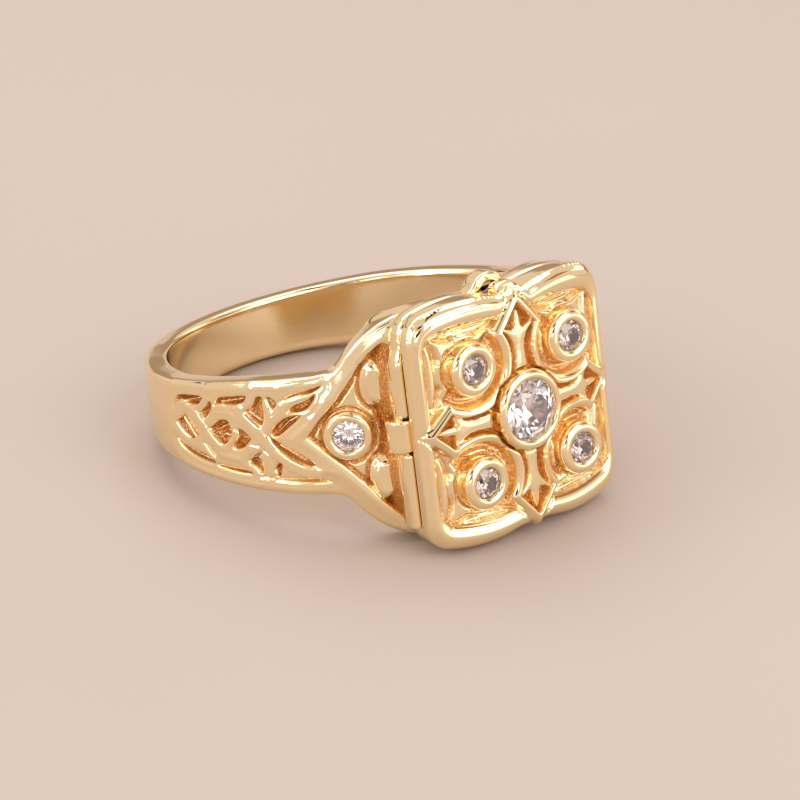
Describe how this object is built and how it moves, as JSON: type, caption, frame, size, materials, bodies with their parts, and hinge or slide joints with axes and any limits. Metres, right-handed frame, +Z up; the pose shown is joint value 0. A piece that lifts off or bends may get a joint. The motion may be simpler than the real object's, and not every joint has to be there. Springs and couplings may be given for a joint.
{
  "type": "hinged-lid gemstone ring",
  "caption": "Finger ring whose square stone-set face is a hinged lid over a shallow box, with a cross and openwork vine relief on lid and band.",
  "frame": {"origin": "middle of the bounding box, on the surface that the ring lies on", "axes": "+Z up from the surface, -Y towards the stone-set face, +X from the hinge side of the lid to its catch side; the finger axis leans 11.75 degrees from +Z towards +Y"},
  "size_m": [0.0216, 0.0244, 0.0122],
  "materials": {
    "body_gold": "polished gold plate with darker matte recesses",
    "lid_gold": "polished gold plate with darker matte recesses",
    "pin": "polished wire",
    "stone": "clear faceted stone"
  },
  "bodies": {
    "ring": {"ring_body": "body_gold", "hinge_pin": "pin", "shoulder_stone_left": "stone", "shoulder_stone_right": "stone"},
    "lid": {"lid": "lid_gold", "centre_stone": "stone", "corner_stone_a": "stone", "corner_stone_b": "stone", "corner_stone_c": "stone", "corner_stone_d": "stone"}
  },
  "joints": [
    {"name": "lid_hinge", "type": "hinge", "parent": "ring", "child": "lid", "pos_m": [-0.00565, -0.00851, 0.00577], "axis": [0, -0.2036, -0.979], "range_deg": [0, 100]}
  ]
}
